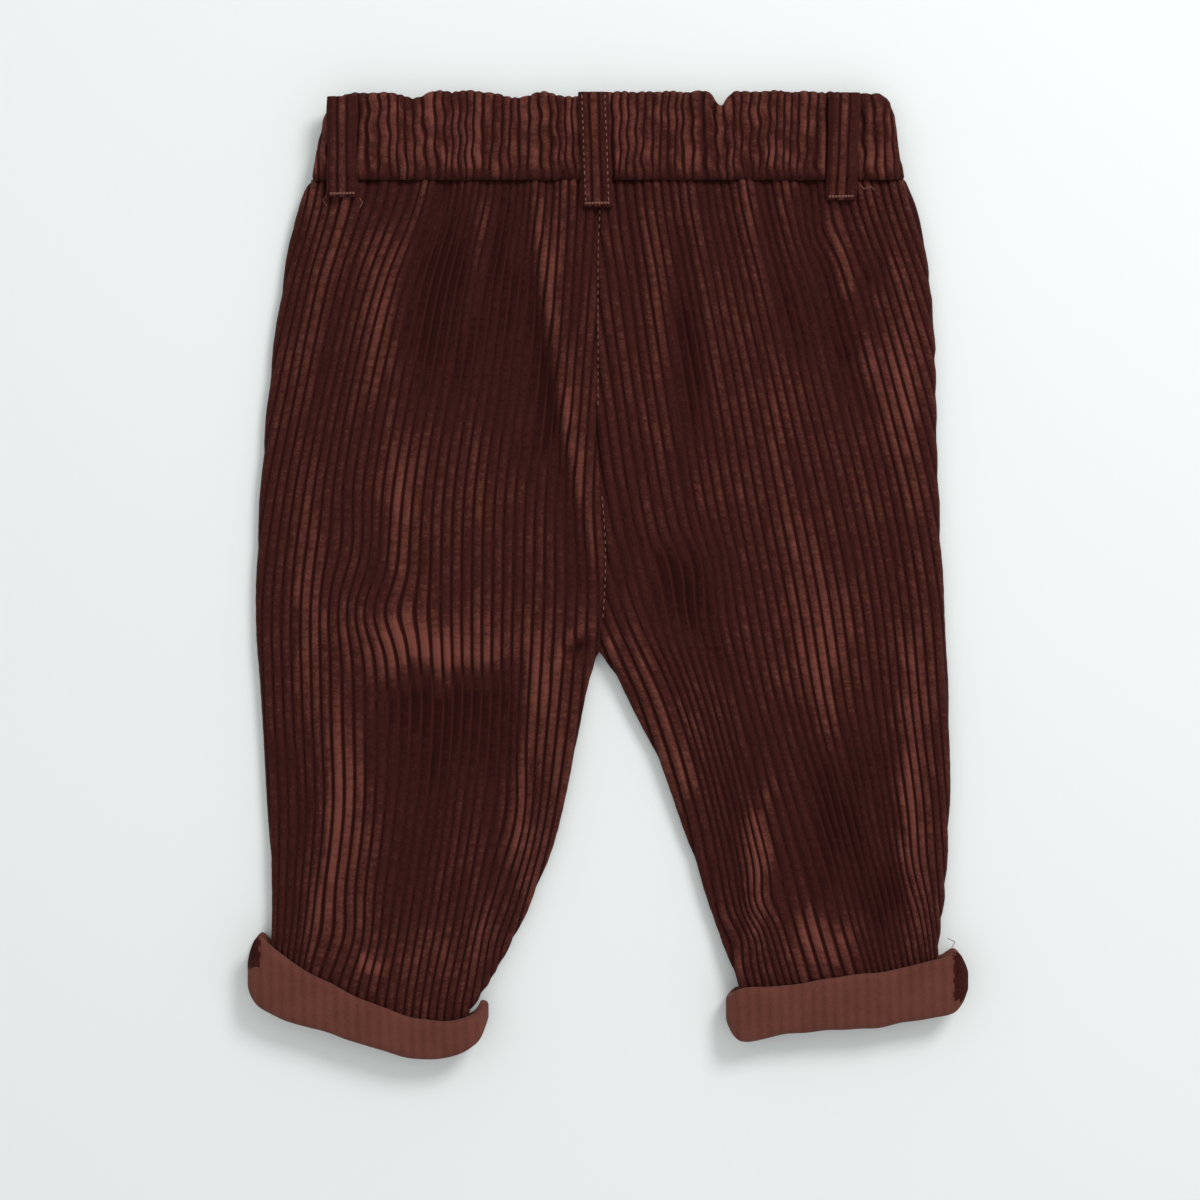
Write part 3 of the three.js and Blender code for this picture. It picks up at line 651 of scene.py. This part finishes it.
def back_panel(name, leg, columns=250, rows=168):
    """The upper layer of one leg, with its half of the seat."""
    x, y, from_out, from_in, h = panel_grid(leg, columns, rows, RIB_INSET, EDGE_ROUND)
    seam = h["edge"] + SEAM_GAP / 2
    crown = h["crown"] - RIB_INSET
    inner = (crown - SEAT_DIP) * (1 - h["inseam"]) + seam * h["inseam"]
    z = crown - (crown - seam) * (1 - from_out) - (crown - inner) * (1 - from_in)
    folds = fold_heights(BACK_FOLDS, x, y)
    # the elastic gathers the cloth just below the waist seam
    gathers = wavy(x, y * 0.15, 27, 11, GATHER_HEIGHT) * np.exp(-(WAIST_SEAM_Y - y) / GATHER_REACH)
    lift = np.where(folds > 0, 1.25, 1.0) * folds + wavy(x, y, 3, 38, 0.5) + gathers
    z = z + lift * from_out * np.maximum(from_in, 0.35 * (1 - h["inseam"]))
    # the seat seam and the waist seam pull the cloth down into narrow grooves
    z = z + groove(x - x[-1:], *SEAT_GROOVE) * (1 - h["inseam"])
    z = z + groove(WAIST_SEAM_Y - y, *WAIST_GROOVE)
    points = np.stack([x, y, z], axis=2)
    normal = grid_normals(points)
    normal *= np.sign(normal[columns // 2, rows // 2, 2])
    cloth = rib_place(leg.guides, x, y)
    points += normal * (RIB_HEIGHT * rib_relief(cloth, y) * (0.45 + 0.55 * from_out))[..., None]
    # the pile's patches, with painted light on the ridges of folds and gathers and painted shade in their
    # troughs
    nap_and_shade = nap_and_shade_at(x + wavy(x, y, 51, 16, 5.0), y, rib_slip(cloth)) + 0.19 * lift
    ribs = np.stack([cloth / RIB, y], axis=2)
    piece = sheet_object(name, points, ribs, nap_and_shade, corduroy)
    return thicken(piece, CLOTH)


def front_panel(name, leg, columns=190, rows=110):
    """The layer underneath, which lies on the floor."""
    x, y, from_out, from_in, h = panel_grid(leg, columns, rows, RIB_INSET, UNDER_ROUND)
    seam = h["edge"] - SEAM_GAP / 2
    base = h["base"] + RIB_HEIGHT * 1.1
    inner = base * (1 - h["inseam"]) + seam * h["inseam"]
    z = base + (seam - base) * (1 - from_out) + (inner - base) * (1 - from_in)
    z = z - fold_heights(FRONT_FOLDS, x, y) * from_out * from_in * 0.6
    points = np.stack([x, y, z], axis=2)
    normal = grid_normals(points)
    normal *= -np.sign(normal[columns // 2, rows // 2, 2])
    cloth = rib_place(leg.guides, x, y)
    points += normal * (RIB_HEIGHT * np.minimum(rib_relief(cloth, y), 1.1))[..., None]
    points[..., 2] = np.maximum(points[..., 2], 0.0)
    nap_and_shade = UNBRUSHED_NAP + wavy(x, y, 11, 60, 0.25)
    ribs = np.stack([cloth / RIB, y], axis=2)
    piece = sheet_object(name, points, ribs, nap_and_shade, corduroy, up=-1)
    return thicken(piece, CLOTH)


left_leg = Leg(LEFT_SECTIONS, LEFT_GUIDES)
right_leg = Leg(RIGHT_SECTIONS, RIGHT_GUIDES)
back_left = back_panel("back_left_cloth", left_leg)
back_right = back_panel("back_right_cloth", right_leg)
front_left = front_panel("front_left_cloth", left_leg)
front_right = front_panel("front_right_cloth", right_leg)

# %% [markdown]
# ## The waistband
# Doubled corduroy with elastic inside. The elastic draws it up, so its ribs are crowded and uneven and
# its top edge is scalloped. It is one closed ring: the outside, the top fold, the inside and the seam
# edge.

# %% Flattened rings
def ring_angles(around):
    """How far across each column of a ring lies, and its face: 1 for the upper, -1 for the lower."""
    angle = np.linspace(0, 2 * np.pi, around + 1)
    # walk evenly across the flat faces, so that ribs keep their spacing
    across = np.abs(((angle / np.pi) % 2) - 1)
    across = 1 - across
    face = np.where(angle < np.pi, 1.0, -1.0)
    across[0], across[-1] = 0, 0
    face[-1] = 1.0
    return across, face


def ring_height(x, end_a, end_b, half_height):
    """Half the height of a flattened ring, rounded at its two ends."""
    return half_height * edge_rise(np.minimum(np.abs(x - end_a), np.abs(x - end_b)), half_height * 1.6)


# Depth below the top edge, and how far the left and the right end stand in.
BAND_ENDS = [(0, 13.5, 8.5), (4, 7.6, 5.2), (9, 4.8, 3.8), (19, 2.6, 2.6), (27, 1.2, 1.0), (BAND_DEPTH, 0, 0)]
# Scallops of the top edge: x, reach, depth.
BAND_DIPS = [
    (-73.7, 5, 2.4),
    (-35.7, 6, 2.2),
    (-13.3, 6, 2.0),
    (42.9, 3.0, 5.2),
    (62, 11, -0.4),
    (96, 8, 0.8),
]
BAND_WALL = 4.0


def band_surface(around=900):
    """The ring's section is a list of depth below the top edge and inset from the outer face."""
    outside = [(d, 0.0) for d in np.linspace(2.2, BAND_DEPTH - 1.2, 20)]
    bottom = [(BAND_DEPTH - 0.3, 0.5), (BAND_DEPTH, 1.4), (BAND_DEPTH, BAND_WALL - 0.5)]
    inside = [(d, BAND_WALL) for d in np.linspace(BAND_DEPTH - 1.2, 2.2, 5)]
    top = [(0.7, BAND_WALL - 0.6), (0.1, BAND_WALL - 1.5), (0.0, BAND_WALL / 2), (0.3, 1.0), (1.0, 0.35)]
    section = np.array(outside + bottom + inside + top + outside[:1])
    depth, inset = section[:, 0][None, :], section[:, 1][None, :]
    across, face = ring_angles(around)
    across, face = across[:, None], face[:, None]
    inset = inset + RIB_INSET
    ends = np.array(BAND_ENDS)
    left = np.interp(depth, ends[:, 0], ends[:, 1]) + inset - BAND_HALF_WIDTH
    right = BAND_HALF_WIDTH - np.interp(depth, ends[:, 0], ends[:, 2]) - inset
    x = left + (right - left) * across
    dip = sum(height * np.exp(-(((x - at) / width) ** 2)) for at, width, height in BAND_DIPS)
    up = 1 - depth / BAND_DEPTH
    # short puckers pull on the band where the elastic's rows of stitches hold it
    pucker = wavy(x, depth * 0.3, 21, 13, 1.8) + wavy(x, depth * 0.2, 22, 6.5, 1.1)
    edge_wave = wavy(x, face * 40.0, 23, 9, 0.9)
    y = WAIST_SEAM_Y + SEAM_GAP + BAND_DEPTH - 0.6 - depth - dip * up + edge_wave * up**3
    half = BAND_HALF_HEIGHT - inset
    z = BAND_HALF_HEIGHT + face * ring_height(x, left, right, half)
    outer = (inset < 1.2 + RIB_HEIGHT).astype(float)
    flat = edge_rise(np.minimum(np.abs(x - left), np.abs(x - right)), 10)
    z = z + face * outer * flat * (np.minimum(pucker, 0.5) * 0.9 - 0.35)
    points = np.stack([x, y, z + 0 * depth], axis=2)
    crowded = x + 3.4 * wavy(x, 0 * x, 24, 26, 1.0) + 0.9 * wavy(x, depth, 25, 8, 1.0)
    cloth = crowded * RIB / BAND_RIB + 0.05 * depth * np.sin(x / 9)
    normal = grid_normals(points)
    normal *= np.sign(normal[around // 4, 8, 2])
    relief = 0.62 * RIB_HEIGHT * rib_relief(cloth, depth * 1.3) * np.where(inset < BAND_WALL - 1, 1.0, 0.4)
    points += normal * relief[..., None]
    # painted light on the crests of the puckers and painted shade between them, on top of the band's lighter
    # pile
    nap_and_shade = UNBRUSHED_NAP + BAND_NAP + 0.14 * pucker + 0.24 * wavy(x, depth, 26, 9, 1.0)
    # painted shade along the waist seam, and one rubbed spot
    nap_and_shade = nap_and_shade - 0.25 * np.exp(-(((depth - 32) / 2.5) ** 2))
    nap_and_shade = nap_and_shade + 0.5 * np.exp(-(((x - 61.6) / 1.3) ** 2) - ((depth - 24) / 3.5) ** 2) * (face > 0)
    points[-1], points[:, -1] = points[0], points[:, 0]
    ribs = np.stack([cloth / RIB, depth + 0 * x], axis=2)
    return points, ribs, nap_and_shade


band = sheet_object("waistband_cloth", *band_surface(), corduroy, wrap=True)

# %% [markdown]
# ## The turn-ups
# Each leg end is rolled outwards once, so the wrong side of the cloth shows: smooth twill, with faint stripes
# where the ribs are behind it. The roll is soft and bows with the leg, and the pile side peeps out at its
# outer end.

# %% Turn-up rings
# Across each turn-up from its outer end: x, height of the free edge, height of the fold.
LEFT_TURNUP = [
    (-136.8, -146.0, -159.0),
    (-131.6, -139.8, -164.8),
    (-113.0, -151.2, -171.4),
    (-90.0, -161.8, -178.6),
    (-66.0, -169.0, -183.6),
    (-50.0, -166.6, -178.4),
    (-45.3, -161.6, -170.0),
]
RIGHT_TURNUP = [
    (136.8, -149.8, -158.6),
    (131.4, -144.9, -165.8),
    (114.0, -148.4, -169.2),
    (92.0, -151.4, -171.8),
    (68.0, -155.4, -173.8),
    (50.5, -156.4, -176.8),
    (44.8, -158.6, -171.6),
]
TURNUP_WALL = 3.0
TURNUP_EASE = 0.5


def turnup_surface(rows, leg, seed, around=300):
    """Share of the way from the free edge (0) to the fold (1), and inset from the outer face."""
    outside = [(s, 0.0) for s in np.linspace(0.04, 0.86, 12)]
    fold = [(0.94, 0.35), (0.985, 1.1), (1.0, 2.2), (0.99, 3.2), (0.95, 4.0), (0.88, 4.6)]
    inside = [(0.84, TURNUP_WALL + 0.4), (0.6, TURNUP_WALL), (0.3, TURNUP_WALL), (0.03, TURNUP_WALL)]
    lip = [(0.0, TURNUP_WALL - 0.6), (-0.01, TURNUP_WALL / 2), (0.01, 0.5)]
    section = np.array(outside + fold + inside + lip + outside[:1])
    share, inset = section[:, 0][None, :], section[:, 1][None, :]
    across, face = ring_angles(around)
    knots = smooth_table(rows, across)
    start, end = rows[0][0], rows[-1][0]
    middle, half_width = (start + end) / 2, abs(end - start) / 2
    narrow = (half_width - inset) / half_width
    x = middle + (knots[:, 0][:, None] - middle) * narrow
    free, bottom = knots[:, 1][:, None], knots[:, 2][:, None]
    # round the corners, and let the outer one stand up where the cloth has rolled over
    level = (free + bottom) / 2
    rounding = 0.6 + 0.4 * edge_rise(half_width - np.abs(x - middle), 4.5)
    y = level + (free + (bottom - free) * share - level) * rounding
    y = y + 3.0 * np.exp(-(((np.abs(x - start) - 4.5) / 3.6) ** 2)) * (1 - share)
    y = y + wavy(x, face[:, None] * 30.0, seed, 34, 0.9) + wavy(x, share * 9, seed + 1, 12, 0.35)
    _, _, h = leg.read(np.array([1.0]))
    centre = (h["crown"][0] + h["base"][0]) / 2
    half = (h["crown"][0] - h["base"][0]) / 2 + TURNUP_EASE + TURNUP_WALL - inset
    height = ring_height(x, middle + (start - middle) * narrow, middle + (end - middle) * narrow, half)
    z = centre + face[:, None] * height
    soft = wavy(x, y, seed + 2, 24, 0.5) + 0.25 * np.sin(share * np.pi)
    z = z + face[:, None] * soft * (inset < 1) * edge_rise(half_width - np.abs(x - middle), 9)
    points = np.stack([x, y, np.maximum(z, 0.02)], axis=2)
    points[-1], points[:, -1] = points[0], points[:, 0]
    ribs = np.stack([x / RIB + 0.12 * (1 - share), y], axis=2)
    return points, ribs, 0.24 + 0 * x


left_ring = turnup_surface(LEFT_TURNUP, left_leg, 31)
right_ring = turnup_surface(RIGHT_TURNUP, right_leg, 41)
turnup_left = sheet_object("turnup_left_cloth", *left_ring, wrong_side, wrap=True)
turnup_right = sheet_object("turnup_right_cloth", *right_ring, wrong_side, wrap=True)


# %% Pile at the outer corners
def show_pile(piece, outer_x, reach, lowest):
    """The pile side peeps out where the outer corner of a turn-up has rolled over."""
    piece.data.materials.append(corduroy)
    for face in piece.data.polygons:
        x, y, z = face.center / MM
        if abs(x - outer_x) < reach + 0.4 * math.sin(y * 1.3) and y > lowest and z > 4:
            face.material_index = 1


show_pile(turnup_left, LEFT_TURNUP[0][0], 5.2, -149)
show_pile(turnup_right, RIGHT_TURNUP[0][0], 6.2, -161)

# %% [markdown]
# ## Belt loops and stitches
# A belt loop is a strip with its long edges folded in. It lies on the waistband and steps down to the
# panel below, where a dense bar of stitches holds its end. Stitches are small rounded beads of thread,
# joined into one mesh.

# %% Belt loops
LOOPS = {
    "belt_loop_left": (-100.5, 11.5, 181, 143, 0),
    "belt_loop_centre": (-4.8, 11.5, 182.6, 139.5, -1.5),
    "belt_loop_right": (89, 11.5, 182.4, 142, 1.5),
}


def top_of(pieces, x, y):
    """Height of the cloth at x, y in mm, found by looking straight down on the pieces."""
    best = 0.0
    for piece in pieces:
        hit, place, *_ = piece.ray_cast(Vector((x * MM, y * MM, 0.05)), Vector((0, 0, -1)))
        if hit:
            best = max(best, place.z / MM)
    return best


def loop_surface(x0, width, top, bottom, lean, columns=40, rows=90):
    """A belt loop that follows what it lies on, with ribs between its raised edges."""
    u = np.linspace(-1, 1, columns + 1)[:, None]
    v = np.linspace(0, 1, rows + 1)[None, :]
    y = top + (bottom - top) * v + 0 * u
    x = x0 + u * (width / 2 + 0.25 * np.sin(v * 9)) + lean * (0.5 - v)
    under = np.array([[top_of((band, back_left, back_right), x[i, j], y[i, j]) for j in range(rows + 1)]
                      for i in range(0, columns + 1, 4)])
    under = under.max(axis=0)
    smooth = np.convolve(np.pad(under, 6, mode="edge"), np.ones(13) / 13, mode="valid")
    base = np.maximum(smooth, under * 0.9 + smooth * 0.1)[None, :]
    pillow = 1.25 + 0.55 * (1 - np.abs(u) ** 6) + 0.25 * (np.abs(np.abs(u) - 0.86) < 0.12)
    tucked = 1 - 0.5 * np.exp(-((v - 1) / 0.03) ** 2)
    relief = 0.55 * rib_relief(u * width / 2 * RIB / LOOP_RIB + 2.0, y) * (np.abs(u) < 0.8)
    z = base + pillow * tucked + relief
    # painted light along the crown of the loop and painted shade at its folded edges
    nap_and_shade = 0.50 + 0.12 * np.cos(u * 3) * np.ones_like(v) - 0.2 * np.exp(-(((np.abs(u) - 0.98) / 0.1) ** 2))
    ribs = np.stack([u * width / 2 / LOOP_RIB + 0.5 + 0 * v, y], axis=2)
    return np.stack([x, y, z], axis=2), ribs, nap_and_shade


loops = {}
for name, sizes in LOOPS.items():
    loops[name] = thicken(sheet_object(name + "_cloth", *loop_surface(*sizes), corduroy), LOOP_CLOTH)


# %% Stitches
def stitch_rows(name, lines, length=2.6, gap=0.75, thick=0.34):
    """lines are lists of x, y points. A bead lies along each stitch and sinks a little into the cloth."""
    under = [band, back_left, back_right, turnup_left, turnup_right, *loops.values()]
    bm = bmesh.new()
    for line in lines:
        path = np.array(line, float)
        steps = np.hypot(*np.diff(path, axis=0).T)
        total = steps.sum()
        at = np.concatenate([[0], np.cumsum(steps)])
        for start in np.arange(0.2, total - length * 0.5, length):
            middle = start + (length - gap) / 2
            x, y = (np.interp(middle, at, path[:, k]) for k in (0, 1))
            ahead = [np.interp(middle + 0.5, at, path[:, k]) for k in (0, 1)]
            turn = math.atan2(ahead[1] - y, ahead[0] - x)
            z = max(top_of(under, x + dx, y) for dx in (-0.4, 0, 0.4)) - 0.05
            size = Matrix.Diagonal(((length - gap) / 2, thick, thick * 0.8, 1))
            place = Matrix.Translation((x, y, z)) @ Matrix.Rotation(turn, 4, "Z") @ size
            bmesh.ops.create_icosphere(bm, subdivisions=2, radius=1, matrix=Matrix.Scale(MM, 4) @ place)
    mesh = bpy.data.meshes.new(name)
    for face in bm.faces:
        face.smooth = True
    bm.to_mesh(mesh)
    bm.free()
    mesh.materials.append(thread)
    piece = bpy.data.objects.new(name, mesh)
    bpy.context.scene.collection.objects.link(piece)
    print(f"{name}: {len(mesh.polygons)} faces")
    return piece


def loop_rows(x0, width, top, bottom, lean):
    """A row of stitches along each side of a belt loop."""
    rows = []
    for side in (-1, 1):
        inset = side * (width / 2 - 1.4)
        rows.append([(x0 + inset + lean / 2, top - 1), (x0 + inset - lean / 2, bottom + 1.5)])
    return rows


def bar_tack(x0, width, top, bottom, lean):
    """Two rows set so close that they make one bar across a loop's end."""
    x = x0 - lean / 2
    ends = (x - width / 2 + 0.8, x + width / 2 - 0.8)
    return [[(ends[0], bottom + 1.1 + k * 0.35), (ends[1], bottom + 1.3 + k * 0.35)] for k in range(2)]


SEAT_ROWS = ((0.12, 0.60), (0.74, 0.94))
seat_lines = [smooth_table(SEAT_SEAM, np.linspace(a, b, 20)) + np.array([0.5, 0]) for a, b in SEAT_ROWS]
seat_stitches = stitch_rows("seat_seam_stitches", seat_lines, length=2.8, gap=1.0, thick=0.2)
centre_rows = loop_rows(*LOOPS["belt_loop_centre"])
loop_stitches = stitch_rows("belt_loop_stitches", centre_rows, length=2.4, gap=0.9, thick=0.24)
tack_rows = [row for sizes in LOOPS.values() for row in bar_tack(*sizes)]
bar_tacks = stitch_rows("bar_tacks", tack_rows, length=1.2, gap=0.1, thick=0.28)

# %% Loose threads
# A few ends left by sewing: beads set so close that they make one thread.
LOOSE_ENDS = [
    [(95.4, 148.0), (97.2, 146.4), (99.8, 147.3), (101.0, 146.1)],
    [(-106.6, 144.4), (-108.2, 142.2), (-106.9, 140.2)],
    [(-94.4, 143.4), (-93.2, 141.4), (-94.0, 139.8)],
    [(129.5, -138.5), (132.6, -140.2), (131.0, -143.4)],
]
loose_threads = stitch_rows("loose_threads", LOOSE_ENDS, length=0.8, gap=-0.5, thick=0.16)

# %% [markdown]
# ## Telling the frame
# Every new piece rides on the one body and stands for its CAD node. The cut is wider than the piece as it
# lies where the elastic gathers it.

# %% Riding, replacing
PIECES = {
    "back_left": back_left,
    "back_right": back_right,
    "front_left": front_left,
    "front_right": front_right,
    "waistband": band,
    "turnup_left": turnup_left,
    "turnup_right": turnup_right,
    **loops,
}
for node, piece in PIECES.items():
    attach(piece, "root")
    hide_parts(node)
for piece in (seat_stitches, loop_stitches, bar_tacks, loose_threads):
    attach(piece, "root")

# %% [markdown]
# ## Floor, light and camera
# A pale floor, a pale sky all round for soft shadows, and one broad lamp from the upper right. The camera
# looks straight down.

# %% Floor
floor_material, _, floor_shader = new_material("matt paper floor")
floor_shader.inputs["Base Color"].default_value = linear("#F1F5F4")
floor_shader.inputs["Roughness"].default_value = 0.9
floor_shader.inputs["Specular IOR Level"].default_value = 0.1
bm = bmesh.new()
bmesh.ops.create_grid(bm, x_segments=1, y_segments=1, size=3.0)
floor_mesh = bpy.data.meshes.new("floor")
bm.to_mesh(floor_mesh)
bm.free()
floor_mesh.materials.append(floor_material)
floor = bpy.data.objects.new("floor", floor_mesh)
bpy.context.scene.collection.objects.link(floor)

# %% Light
world = bpy.data.worlds.new("pale sky")
world.use_nodes = True
world.node_tree.nodes["Background"].inputs["Color"].default_value = linear("#F7FAFA")
world.node_tree.nodes["Background"].inputs["Strength"].default_value = 0.70
bpy.context.scene.world = world


def soft_lamp(name, place, size, power):
    """A round lamp aimed at the middle of the garment."""
    lamp = bpy.data.lights.new(name, "AREA")
    lamp.shape, lamp.size, lamp.energy = "DISK", size, power
    holder = bpy.data.objects.new(name, lamp)
    holder.location = place
    holder.rotation_euler = (-Vector(place)).to_track_quat("-Z", "Y").to_euler()
    bpy.context.scene.collection.objects.link(holder)


soft_lamp("broad lamp", (0.9, 1.15, 1.25), 0.7, 18.5)

# %% Camera
VIEW_WIDTH = 0.456
LENS, SENSOR = 85.0, 36.0
camera = bpy.data.cameras.new("camera")
camera.lens, camera.sensor_width = LENS, SENSOR
view = bpy.data.objects.new("camera", camera)
view.location = (-0.0030, -0.0095, VIEW_WIDTH * LENS / SENSOR + 0.006)
bpy.context.scene.collection.objects.link(view)
bpy.context.scene.camera = view
bpy.context.scene.view_settings.view_transform = "Standard"
